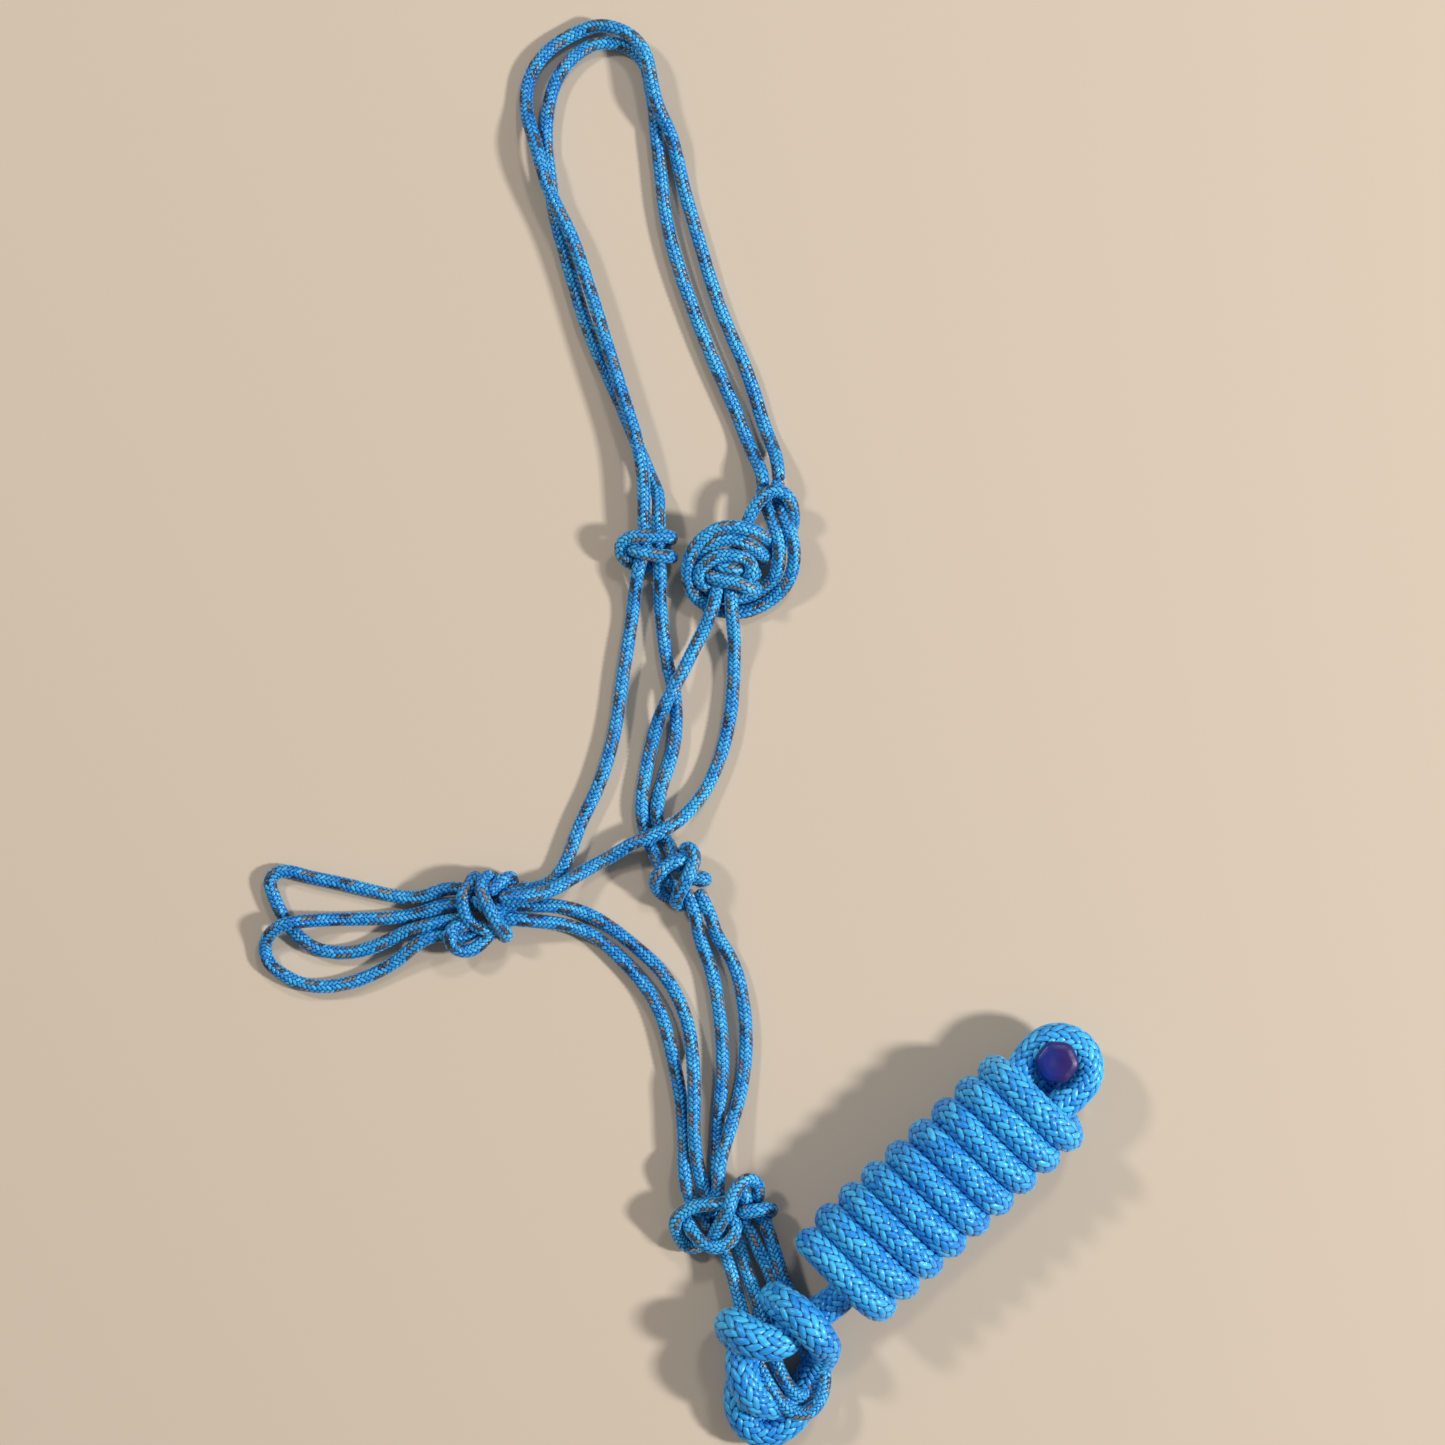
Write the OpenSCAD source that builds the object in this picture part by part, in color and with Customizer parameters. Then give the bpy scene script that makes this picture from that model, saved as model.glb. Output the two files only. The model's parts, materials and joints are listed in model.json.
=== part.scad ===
// Rope halter with a lead rope, laid flat on the ground: the crown (poll) end points
// along +Y, the noseband along -X and the lead hank along +X. Two ropes and a dipped
// tip make it: a thin tied cord for the halter and a thick rope for the lead.

/* [Halter cord] */
// Diameter of the halter cord
cord_d = 7; // [6.5:0.1:7]
// Number of flat sides on a cord's tube
cord_sides = 10; // [8:1:12]

/* [Knots] */
// Height of a knot's middle above the ground, which is also the height of the fold axes
knot_z = 10.3; // [10.3:0.1:11]

/* [Lead rope] */
// Diameter of the lead rope
lead_d = 16; // [15:0.5:16]
// Number of wraps round the hank
hank_wraps = 9; // [8:1:9]
// Distance from one wrap to the next along the hank
wrap_pitch = 15.6; // [15:0.1:15.6]
// Diameter of the dipped end of the lead rope
tip_d = 17; // [15:0.5:17]
// Length of the dipped end
tip_length = 26; // [20:1:30]

/* [Hidden] */

cord_blue = [0.10, 0.47, 0.80];
lead_blue = [0.13, 0.52, 0.86];
tip_indigo = [0.10, 0.08, 0.45];

cord_r = cord_d / 2;
lead_r = lead_d / 2;

// Heights of a cord's middle: on the ground, at a knot, and over another cord.
lay = 3.5;
kz = knot_z;
over = 10.8;

// Routes, in millimetres. A route's first or last point lies on a fold axis where the
// cord folds at a knot.
crown_outer_route = [
    [-16, 109.5, kz], [-16, 121, over], [-18, 141, over], [-25, 166, over],
    [-32, 188, over], [-39, 211, over], [-46, 233, over], [-54, 254, over],
    [-64, 275, over], [-70, 296, 10], [-75, 315, 4], [-73, 331, lay],
    [-64, 344, lay], [-50, 353, lay], [-39, 356, 6], [-30, 354, 10],
    [-21, 349, over], [-15, 340, over], [-12, 327, over], [-9, 315, over],
    [-3, 302, 8], [3, 279, lay], [10, 254, lay], [18, 227, lay],
    [27, 203, lay], [37, 179, lay], [45, 154, lay], [49.5, 142, 7], [51, 133.5, kz]
];
crown_inner_route = [
    [-8.7, 112.1, kz], [-9, 121, 6.5], [-12, 129, 4], [-18, 143, lay],
    [-27, 165, lay], [-36, 185, lay], [-44, 204, lay], [-51, 226, lay],
    [-57, 247, lay], [-61, 263, lay], [-63, 279, lay], [-65, 297, lay],
    [-64, 315, lay], [-60, 329, lay], [-51, 341, lay], [-41, 347, lay],
    [-32, 348, lay], [-23, 345, lay], [-16, 338, lay], [-13, 327, lay],
    [-11, 315, lay], [-10, 303, lay], [-8, 285, lay], [-6, 266, lay],
    [-1, 243, lay], [9, 213, lay], [19, 188, lay], [30, 163, lay],
    [38, 143, 5], [43, 130.6, kz]
];
right_cheek_route = [
    [-19, 82.5, kz], [-21, 69, 5], [-24, 47, lay], [-27, 28, lay],
    [-30, 7, lay], [-34, -10, lay], [-40, -27, lay], [-48, -44, lay],
    [-54, -60, lay], [-60, -70, lay], [-68, -75, 6], [-78, -76, kz]
];
left_cheek_route = [
    [27.5, 71, 11], [28, 62, 11.5], [29, 50, 8], [29, 36, 4], [28, 18, lay],
    [25, 0, lay], [19, -18, lay], [11, -32, 5], [1, -42, 9.5],
    [-7, -47, over], [-15, -50.5, over], [-23, -54, 9.5], [-33, -60, 5.5],
    [-44, -66, 6], [-54, -72, over], [-64, -77, 15], [-78, -79.5, 17.5]
];
right_throat_route = [
    [-8, 82.5, kz], [-8, 68, 4.5], [-6, 48, lay], [-4, 35, lay],
    [-1, 23, lay], [0, 11, lay], [-1, -4, lay], [-5, -18, lay],
    [-9, -32, lay], [-9.5, -40, lay], [-7, -48, lay], [-3, -55, 7], [-1, -60, kz]
];
left_throat_route = [
    [20, 71, 11], [17.5, 62, 11.5], [14, 54, 9], [9, 44, 8], [2.5, 31, over],
    [-4.5, 18, over], [-9.5, 6, 7], [-13.5, -9, lay], [-16.5, -26, lay],
    [-17, -40, lay], [-14.5, -50, lay], [-11, -58, 7], [-8, -64, kz]
];
// The outer noseband cord runs from the upper nose knot round to the lower one.
noseband_upper_route = [
    [-115, -76, kz], [-128, -80, 6], [-149, -78, lay], [-170, -73, lay],
    [-186, -69.5, lay], [-198, -67.5, lay], [-203, -71, lay], [-202, -79, lay],
    [-198, -88, lay], [-192, -97, lay], [-184, -104, lay], [-175, -107.5, lay],
    [-164, -108, lay], [-151, -105, lay], [-136, -98, 6], [-121.4, -93.4, kz]
];
noseband_lower_route = [
    [-118.3, -84.9, kz], [-129, -88.5, 6], [-149, -91, lay], [-172, -91.5, 4],
    [-185, -92, 9.5], [-195, -93.5, over], [-202, -97.5, 8], [-206, -105, lay],
    [-204, -113, lay], [-197, -119, lay], [-188, -123.5, lay], [-175, -125, lay],
    [-163, -123, lay], [-149, -117.5, lay], [-136, -109, 6], [-124, -100.4, kz]
];
chin_front_route = [
    [-75, -84.3, kz], [-62, -84.5, 8], [-49, -87, 4], [-38, -92, lay],
    [-28, -99, lay], [-17, -108, lay], [-7, -118, lay], [0, -129, lay],
    [5, -141, lay], [8, -157, 6], [9, -173, over], [9, -189, over],
    [9.5, -204, over], [11.5, -216.5, kz]
];
chin_back_route = [
    [-75, -91.7, kz], [-62, -93, 7], [-49, -96, 4], [-38, -102, lay],
    [-28, -111, lay], [-17, -123, lay], [-9, -136, lay], [-4, -151, lay],
    [-0.5, -166, lay], [2, -179, lay], [3.5, -194, lay], [4, -207, 5.5], [4, -216.5, kz]
];
jaw_left_route = [
    [9.3, -88, kz], [12, -101, 6], [17, -115, lay], [21, -134, lay],
    [23, -153, lay], [23, -173, lay], [21.5, -189, lay], [20.5, -205, lay], [20, -216.5, 6.5]
];
jaw_right_route = [
    [16.6, -88, kz], [21, -100, 6], [28, -112, lay], [33, -129, lay],
    [35, -148, lay], [34, -168, lay], [30, -187, 6], [25, -202, over], [21.5, -216.5, 14]
];
// The eye loop rises out of the left throat knot and lies over the crown's pair.
eye_route = [
    [31, 95.5, 14], [35, 105, 15], [38.5, 113, 17], [44, 120, 18], [50.5, 122.5, 18],
    [56, 119, 16], [58.5, 112, 11], [58, 105, 6], [54, 98, 4], [47, 92, lay], [42, 88, 4]
];
// The crown's tail passes the eye, goes round behind the knot and back over its front.
tail_outer_route = [
    [51, 129.7, kz], [51, 121, 9.5], [53, 112, 11.5], [57, 102, 14],
    [59, 90, 13], [57, 80, 9], [52, 72.5, 5], [43, 66, lay], [32, 62.5, lay],
    [20, 64, lay], [9.5, 70.5, 7], [5.8, 81, 13], [8, 91.5, 17.5],
    [15, 100, 20.5], [26, 104.3, 22.5], [37, 102.8, 21.5], [43.5, 100, 16], [48, 97, 9.5]
];
tail_inner_route = [
    [43, 126.8, kz], [44, 119, 9.5], [46.5, 112, 11.5], [50, 102, 14],
    [51.5, 90, 13], [50, 82, 9], [45.5, 76, 5], [38, 71.5, lay], [30, 69.8, lay],
    [21, 71, lay], [13.5, 76, 4.5], [10.5, 83, 7.5], [12, 90, 13],
    [17.5, 95.5, 18.5], [26, 98, 20.5], [35, 96, 20], [41, 92.5, 15.5], [45.5, 89, 9]
];
// The lead loop is two bights of the halter cord that hang through the hitch.
loop_outer_route = [
    [26.5, -263.5, kz], [30, -275, 12], [34, -290, 14], [39, -306, 17],
    [46, -321, 19.5], [54, -332, 19.5], [64, -336, 19.5], [72, -329, 18],
    [74, -317, 14], [70, -303, 11], [62, -287, 10], [53, -268, 10], [45.3, -244.7, kz]
];
loop_inner_route = [
    [32.6, -257.4, kz], [37, -271, 12], [43, -288, 14], [47.5, -303, 17],
    [51.5, -314.5, 19.5], [56.5, -322.5, 18.5], [62, -326.5, 15.5], [66.2, -322, 12],
    [65.5, -312, 10.5], [61, -299, 10.5], [51, -277, 10], [38.9, -251, kz]
];
hitch_bight_route = [
    [30, -303, 20], [27, -316, 13], [30, -331, 9], [38, -343, 8], [50, -347, 8], [60, -340, 9]
];
neck_route = [[80, -280, 16], [87, -272, 19], [92, -266, 22]];

// The hank is a rounded bar: its start, its direction and its outline.
hank_start = [80, -268];
hank_angle = 42;
hank_width = 64;
hank_height = 48;
hank_length = hank_wraps * wrap_pitch;
// The bight at the hank's far end is a half ring with straight legs.
bight_r = 7;
bight_ring = 15.8;
bight_out = 11;
bight_left = 4;
bight_z = 24;
tip_low = 10;

function unit(v) = v / norm(v);

// The direction of a route at point i, from the points on either side of it.
function along(p, i) = unit(p[min(i + 1, len(p) - 1)] - p[max(i - 1, 0)]);

// A ring is its middle, its direction and its radius.
function middle_rings(p, r) = [for (i = [0:len(p) - 1]) [p[i], along(p, i), r]];

// The small rings that round off a tube's first end (s = -1) or its last end (s = 1).
function cap_rings(c, t, r, s) =
    [for (a = s < 0 ? [75, 50, 25] : [25, 50, 75]) [c + s * r * sin(a) * t, t, r * cos(a)]];

function ring_points(ring, sides) =
    let (side = unit(cross([0, 0, 1], ring[1])), up = cross(ring[1], side))
    [for (k = [0:sides - 1])
        ring[0] + ring[2] * (cos(360 * k / sides) * side + sin(360 * k / sides) * up)];

// A closed tube along a route, as one polyhedron. A rounded end has its centre on the
// route's end point, so it can turn there about a fold axis.
module tube(p, r = cord_r, sides = cord_sides, round_first = false, round_last = false) {
    last = len(p) - 1;
    rings = concat(
        round_first ? cap_rings(p[0], along(p, 0), r, -1) : [],
        middle_rings(p, r),
        round_last ? cap_rings(p[last], along(p, last), r, 1) : []
    );
    n = len(rings);
    first_end = [for (k = [0:sides - 1]) k];
    last_end = [for (k = [sides - 1:-1:0]) (n - 1) * sides + k];
    walls = [for (i = [0:n - 2]) for (k = [0:sides - 1])
        let (a = i * sides + k, b = i * sides + (k + 1) % sides)
        each [[a, a + sides, b], [b, a + sides, b + sides]]];
    polyhedron(
        points = [for (ring = rings) each ring_points(ring, sides)],
        faces = concat([first_end, last_end], walls),
        convexity = 8
    );
}

// One wrap of rope round a core that runs along Y: w and h are the half width and the
// half height of the wrap's middle line.
module wrap(w, h, r) {
    for (s = [-1, 1])
        translate([s * (w - h), 0, 0]) rotate([90, 90 * s, 0])
            rotate_extrude(angle = 180, $fn = 48) translate([h, 0]) circle(r = r, $fn = 32);
    for (s = [-1, 1])
        translate([-(w - h), 0, s * h]) rotate([0, 90, 0])
            cylinder(r = r, h = 2 * (w - h), $fn = 32);
}

// Cords side by side along Y, as one rounded bar with its middle at the origin.
module core(count, length, r = cord_r) {
    half = (count - 1) * r;
    rotate([90, 0, 0]) linear_extrude(height = length, center = true) {
        square([2 * half, 2 * r], center = true);
        for (s = [-1, 1]) translate([s * half, 0]) circle(r = r, $fn = 32);
    }
}

// Half height of a wrap over a core one cord thick. It bites into the core a little.
wrap_h = cord_d - 0.5;

module crown_cord_outer() color(cord_blue)
    tube(crown_outer_route, round_first = true, round_last = true);

module crown_cord_inner() color(cord_blue)
    tube(crown_inner_route, round_first = true, round_last = true);

module right_throat_knot() color(cord_blue) {
    translate([-12.4, 94.7, kz]) core(2, 22);
    for (y = [89.5, 100.5]) translate([-13.5, y, kz]) wrap(11.3, wrap_h, cord_r);
}

module left_throat_knot() color(cord_blue) {
    translate([24.5, 83.5, kz]) core(3, 22);
    for (y = [77, 85, 93]) translate([25.5, y, kz]) rotate([0, 0, -4]) wrap(12, wrap_h, cord_r);
}

module tie_eye_loop() color(cord_blue) tube(eye_route);

module crown_tail_outer() color(cord_blue) tube(tail_outer_route, round_last = true);

module crown_tail_inner() color(cord_blue) tube(tail_inner_route, round_last = true);

module right_cheek_cord() color(cord_blue) tube(right_cheek_route);

module left_cheek_cord() color(cord_blue) tube(left_cheek_route);

module right_throat_cord() color(cord_blue) tube(right_throat_route);

module left_throat_cord() color(cord_blue) tube(left_throat_route);

// The jaw knot slants, and its two lower cords turn to run straight down to the fold.
module jaw_knot() color(cord_blue) {
    translate([1, -72, kz]) rotate([0, 0, 33]) {
        core(2, 20);
        for (y = [-5, 5]) translate([0, y, 0]) wrap(11, wrap_h, cord_r);
    }
    translate([12.95, -80.2, kz]) core(2, 8);
}

module upper_nose_knot() color(cord_blue) {
    translate([-95, -82.5, kz]) rotate([0, 0, 90]) core(3, 32);
    for (x = [-104, -92.5])
        translate([x, -82.5, kz]) rotate([0, 0, 90]) wrap(13.5, wrap_h, cord_r);
}

module lower_nose_knot() color(cord_blue) {
    translate([-108, -99.7, kz]) rotate([0, 0, 90]) core(2, 18.6);
    translate([-107, -99.7, kz]) rotate([0, 0, 90]) wrap(10, wrap_h, cord_r);
}

module noseband_cord_upper() color(cord_blue)
    tube(noseband_upper_route, round_first = true, round_last = true);

module noseband_cord_lower() color(cord_blue)
    tube(noseband_lower_route, round_first = true, round_last = true);

module chin_cord_front() color(cord_blue) tube(chin_front_route);

module chin_cord_back() color(cord_blue) tube(chin_back_route);

module jaw_cord_left() color(cord_blue) tube(jaw_left_route, round_first = true);

module jaw_cord_right() color(cord_blue) tube(jaw_right_route, round_first = true);

// The knot's lower face slants at 45 degrees, square to the way that the lead loop leaves.
module fiador_knot() color(cord_blue) {
    translate([21, -231.5, kz]) core(5, 28);
    translate([21, -225.5, kz]) wrap(21.5, wrap_h, cord_r);
    translate([20, -236.5, kz]) wrap(19, wrap_h, cord_r);
    translate([16, -246, kz]) wrap(14, wrap_h, cord_r);
    translate([28.3, -246.4, kz]) rotate([0, 0, 45]) core(4.8, 14, cord_r - 0.3);
}

module lead_loop_outer() color(cord_blue)
    tube(loop_outer_route, round_first = true, round_last = true);

module lead_loop_inner() color(cord_blue)
    tube(loop_inner_route, round_first = true, round_last = true);

module lead_hitch() color(lead_blue)
    translate([46.5, -296, 20]) rotate([0, 0, 21]) wrap(19.5, 12, lead_r);

module lead_hitch_bight() color(lead_blue) tube(hitch_bight_route, lead_r, 12);

module lead_neck() color(lead_blue) tube(neck_route, lead_r, 12, round_first = true);

// Places its children on the hank: +Y runs along it and -X is its left side.
module on_hank(along_it = 0) {
    translate([hank_start[0], hank_start[1], hank_height / 2])
        rotate([0, 0, hank_angle - 90]) translate([0, along_it, 0]) children();
}

module lead_hank() color(lead_blue)
    on_hank(hank_length / 2)
        core(hank_width / hank_height, hank_length, hank_height / 2);

module lead_end_bight() color(lead_blue)
    on_hank(hank_length) translate([-bight_left, 0, bight_z - hank_height / 2]) {
        translate([0, bight_out, 0])
            rotate_extrude(angle = 180, $fn = 48) translate([bight_ring, 0])
                circle(r = bight_r, $fn = 32);
        for (s = [-1, 1]) translate([s * bight_ring, bight_out, 0]) rotate([90, 0, 0])
            cylinder(r = bight_r, h = bight_out, $fn = 32);
    }

module lead_tip() color(tip_indigo)
    on_hank(hank_length) translate([-bight_left, bight_out, tip_low - hank_height / 2])
        cylinder(d = tip_d, h = tip_length, $fn = 32);

crown_cord_outer();
crown_cord_inner();
right_throat_knot();
left_throat_knot();
tie_eye_loop();
crown_tail_outer();
crown_tail_inner();
right_cheek_cord();
left_cheek_cord();
right_throat_cord();
left_throat_cord();
jaw_knot();
upper_nose_knot();
lower_nose_knot();
noseband_cord_upper();
noseband_cord_lower();
chin_cord_front();
chin_cord_back();
jaw_cord_left();
jaw_cord_right();
fiador_knot();
lead_loop_outer();
lead_loop_inner();
lead_hitch();
lead_hitch_bight();
lead_neck();
lead_hank();
lead_end_bight();
lead_tip();
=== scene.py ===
"""A knotted rope halter with its lead rope, laid flat on a pale floor."""

import json
import math

import bpy
import numpy as np
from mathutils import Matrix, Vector


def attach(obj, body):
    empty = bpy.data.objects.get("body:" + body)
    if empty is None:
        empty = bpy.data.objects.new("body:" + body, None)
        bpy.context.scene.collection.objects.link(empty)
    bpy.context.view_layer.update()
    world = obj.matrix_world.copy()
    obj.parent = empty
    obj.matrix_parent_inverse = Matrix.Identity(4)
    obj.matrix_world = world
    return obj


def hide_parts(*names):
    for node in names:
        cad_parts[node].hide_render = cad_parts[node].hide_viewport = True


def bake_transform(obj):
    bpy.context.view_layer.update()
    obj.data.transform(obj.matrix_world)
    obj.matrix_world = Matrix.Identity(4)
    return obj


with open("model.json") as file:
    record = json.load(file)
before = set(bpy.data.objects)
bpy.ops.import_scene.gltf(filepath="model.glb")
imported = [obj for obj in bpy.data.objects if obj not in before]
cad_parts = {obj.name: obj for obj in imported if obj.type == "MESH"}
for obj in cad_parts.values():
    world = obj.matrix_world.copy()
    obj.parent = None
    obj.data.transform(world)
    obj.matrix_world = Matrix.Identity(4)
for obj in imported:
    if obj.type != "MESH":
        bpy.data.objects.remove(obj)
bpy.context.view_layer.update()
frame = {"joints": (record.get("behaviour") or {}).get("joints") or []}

# Routes and knots are in millimetres, and MM turns them into metres.
MM = 0.001
UP = np.array([0.0, 0.0, 1.0])


# ---------------------------------------------------------------- camera

VIEW_WIDTH = 722.5 * MM
VIEW_CENTRE = (23.25 * MM, 7.25 * MM)
VIEW_LEVEL = 8 * MM  # height at which the view is VIEW_WIDTH across
LENS = 85.0
SENSOR = 36.0


def make_camera():
    data = bpy.data.cameras.new("camera")
    data.lens = LENS
    data.sensor_width = SENSOR
    data.clip_start = 0.01
    data.clip_end = 20
    camera = bpy.data.objects.new("camera", data)
    bpy.context.scene.collection.objects.link(camera)
    height = VIEW_WIDTH * LENS / SENSOR
    camera.location = (*VIEW_CENTRE, VIEW_LEVEL + height)
    bpy.context.scene.camera = camera


make_camera()


# ---------------------------------------------------------------- smooth lines


def resample(line, step):
    """Points along a polyline, about step apart and evenly spaced."""
    run = np.concatenate([[0], np.cumsum(np.linalg.norm(np.diff(line, axis=0), axis=1))])
    count = max(int(round(run[-1] / step)), 4) + 1
    at = np.linspace(0, run[-1], count)
    return np.stack([np.interp(at, run, line[:, k]) for k in range(3)], axis=1)


SPLINE_POWER = 0.75  # below 1, so that a long gap between points doesn't make the line swing out
SPLINE_DETAIL = 24  # places worked out for each point


def spline(points, step):
    """A natural cubic spline through points, with a point every step."""
    p = np.array(points, float)
    chords = np.linalg.norm(np.diff(p, axis=0), axis=1)
    t = np.concatenate([[0], np.cumsum(chords**SPLINE_POWER)])
    gap = np.diff(t)
    n = len(p)
    rows, right = np.zeros((n, n)), np.zeros((n, 3))
    rows[0, 0] = rows[-1, -1] = 1
    for i in range(1, n - 1):
        rows[i, i - 1 : i + 2] = gap[i - 1], 2 * (gap[i - 1] + gap[i]), gap[i]
        right[i] = 6 * ((p[i + 1] - p[i]) / gap[i] - (p[i] - p[i - 1]) / gap[i - 1])
    bend = np.linalg.solve(rows, right)
    at = np.linspace(0, t[-1], n * SPLINE_DETAIL)
    k = np.clip(np.searchsorted(t, at, side="right") - 1, 0, n - 2)
    h, a, b = gap[k][:, None], (t[k + 1] - at)[:, None], (at - t[k])[:, None]
    line = (
        (bend[k] * a**3 + bend[k + 1] * b**3) / (6 * h)
        + (p[k] / h - bend[k] * h / 6) * a
        + (p[k + 1] / h - bend[k + 1] * h / 6) * b
    )
    return resample(line, step)


def length_of(line):
    """The length of a polyline."""
    return float(np.linalg.norm(np.diff(line, axis=0), axis=1).sum())


def directions(line):
    """Unit vectors along a line."""
    d = np.gradient(line, axis=0)
    return d / np.linalg.norm(d, axis=1)[:, None]


def sides_of(line):
    """Unit vectors at each point: one square to the line, turning as little as it can, and one along it."""
    along = directions(line)
    start = np.cross(UP, along[0])
    if np.linalg.norm(start) < 0.2:  # the line starts upright
        start = np.cross([1.0, 0.0, 0.0], along[0])
    side = [start / np.linalg.norm(start)]
    for i in range(len(line) - 1):
        step = line[i + 1] - line[i]
        c = step @ step
        s = side[-1] - 2 / c * (step @ side[-1]) * step
        a = along[i] - 2 / c * (step @ along[i]) * step
        turn = along[i + 1] - a
        c = turn @ turn
        s = s - 2 / c * (turn @ s) * turn if c > 1e-16 else s
        side.append(s / np.linalg.norm(s))
    return np.array(side), along


# ---------------------------------------------------------------- ropes that press on each other


SETTLE_STEP = 2.0  # distance between a strand's points while it settles
SETTLE_ROUNDS = 160
PRESS = 0.93  # how close two strands come, as a share of the sum of their radii
HOME = 0.02  # share of its way back to its start that a point goes in each round
SMOOTHING = 0.35
TENSION = 0.25  # share of a link's stretch that is taken out in each round
CLOSEST = 0.2  # points nearer than this are pushed as if they were this far apart
OWN_LENGTH = 2.6  # along itself a strand is left alone this near, in radii


def settle(strands, radii, held):
    """Moves strands apart where they lie in each other, and keeps them smooth and off the floor.

    strands are lists of points SETTLE_STEP apart, and held says which points stay where they are.
    """
    points = np.vstack(strands)
    start = points.copy()
    radius = np.concatenate([np.full(len(s), r) for s, r in zip(strands, radii)])
    which = np.concatenate([np.full(len(s), i) for i, s in enumerate(strands)])
    free = ~np.concatenate(held)
    order = np.arange(len(points))
    i, j = np.triu_indices(len(points), 1)
    along = (order[j] - order[i]) * SETTLE_STEP
    near = (which[i] == which[j]) & (along < OWN_LENGTH * radius[i])
    both_held = ~(free[i] | free[j])
    i, j = i[~near & ~both_held], j[~near & ~both_held]
    need = PRESS * (radius[i] + radius[j])
    inner = np.flatnonzero((which[1:-1] == which[:-2]) & (which[1:-1] == which[2:])) + 1
    link = np.flatnonzero(which[1:] == which[:-1])
    rest = np.linalg.norm(points[link + 1] - points[link], axis=1)
    for _ in range(SETTLE_ROUNDS):
        move = np.zeros_like(points)
        count = np.zeros(len(points))
        apart = points[i] - points[j]
        distance = np.linalg.norm(apart, axis=1)
        hit = distance < need
        a, b = i[hit], j[hit]
        push = apart[hit] * ((need[hit] / np.maximum(distance[hit], CLOSEST)) - 1)[:, None] * 0.5
        np.add.at(move, a, push)
        np.add.at(move, b, -push)
        np.add.at(count, a, 1)
        np.add.at(count, b, 1)
        # Several pushes on one point are averaged, but only in part.
        move /= np.maximum(count, 1)[:, None] ** 0.6
        smooth = np.zeros_like(points)
        smooth[inner] = (points[inner - 1] + points[inner + 1]) / 2 - points[inner]
        step = points[link + 1] - points[link]
        size = np.linalg.norm(step, axis=1)
        pull = step * ((size - rest) / np.maximum(size, 1e-6) * TENSION)[:, None]
        np.add.at(smooth, link, pull)
        np.add.at(smooth, link + 1, -pull)
        points = points + (move + SMOOTHING * smooth + HOME * (start - points)) * free[:, None]
        low = free & (points[:, 2] < radius)
        points[low, 2] = radius[low]
    ends = np.cumsum([len(s) for s in strands])[:-1]
    return np.split(points, ends)


# ---------------------------------------------------------------- braided rope


class Rope:
    """What one kind of rope is: its size in millimetres and how it is braided.

    pitch is the length of a row of stitches, relief the depth of the gaps and plump how square a
    stitch is. sides and step are the mesh's: points round the rope, and the distance along it.
    """

    def __init__(self, diameter, strands, pitch, relief, plump, sides, step, slot):
        self.radius = diameter / 2
        self.diameter = diameter
        self.strands = strands
        self.pitch = pitch
        self.relief = relief
        self.plump = plump
        self.sides = sides
        self.step = step
        self.slot = slot
        self.material = None


CORD = Rope(
    diameter=7.0, strands=8, pitch=2.45, relief=0.7, plump=2.5, sides=48, step=0.5,
    slot="halter_cord",
)
LEAD = Rope(
    diameter=16.0, strands=12, pitch=4.8, relief=1.2, plump=2.7, sides=96, step=0.6,
    slot="lead_rope",
)
STITCH_EDGE = 1.35  # a stitch ends where its two spreads add up to this
END_ROUNDING = 0.9  # length of a rounded end, in radii
WANDER = 0.012  # share by which a rope's thickness goes up and down
WAVES = (0.11, 0.043)  # the two slow waves that it does this in, in radians a millimetre


def braid_height(u, v, rope):
    """Height of a braid's surface from 0 in its gaps to 1 on its yarns.

    u goes from 0 to 1 round the rope and v grows by 1 at each row. Each yarn passes over two
    others and under two, so its floats stand in columns along the rope.
    """
    a, b = u * rope.strands + v, u * rope.strands - v
    i, j = np.floor(a), np.floor(b)
    row = np.mod(i + j, 4)
    over = row < 2
    across = np.where(over, a - i, b - j)
    along = np.where(over, (row + b - j) / 2, (row - 2 + a - i) / 2)
    spread = np.abs(2 * across - 1) ** rope.plump + np.abs(2 * along - 1) ** rope.plump
    return np.sqrt(np.clip(1 - spread / STITCH_EDGE, 0, 1))


def rope_surface(rope, line, round_first, round_last, start_run=0.0, wear=0, swells=()):
    """Rings and rows of a rope's surface along an even line.

    start_run is how far along its rope the line starts, so that the braid carries on there.
    wear shifts the slow waves in the rope's thickness, so that no two pieces are alike.
    swells are places where the rope is pressed fat: a point, the share it grows and how far.
    """
    side, along = sides_of(line)
    up = np.cross(along, side)
    step = length_of(line) / (len(line) - 1)
    run = np.arange(len(line)) * step
    u = np.arange(rope.sides) / rope.sides
    at = run + start_run
    v = at / rope.pitch
    height = braid_height(u[None, :], v[:, None], rope)
    wave = np.sin(at * WAVES[0] + wear) + np.sin(at * WAVES[1] + 2 * wear)
    radius = rope.radius * (1 + WANDER * wave)[:, None] - rope.relief * (1 - height)
    for place, share, far in swells:
        away = np.linalg.norm(line - np.array(place, float), axis=1)
        radius = radius * (1 + share * np.exp(-((away / far) ** 2)))[:, None]
    for is_round, distance in ((round_first, run), (round_last, run[-1] - run)):
        if is_round:
            share = np.clip(distance / (END_ROUNDING * rope.radius), 0, 1)
            radius = radius * np.sqrt(1 - (1 - share) ** 2)[:, None].clip(0.02)
    angle = 2 * np.pi * u
    ring = np.cos(angle)[None, :, None] * side[:, None, :] + np.sin(angle)[None, :, None] * up[:, None, :]
    return line[:, None, :] + radius[:, :, None] * ring, v


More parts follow.
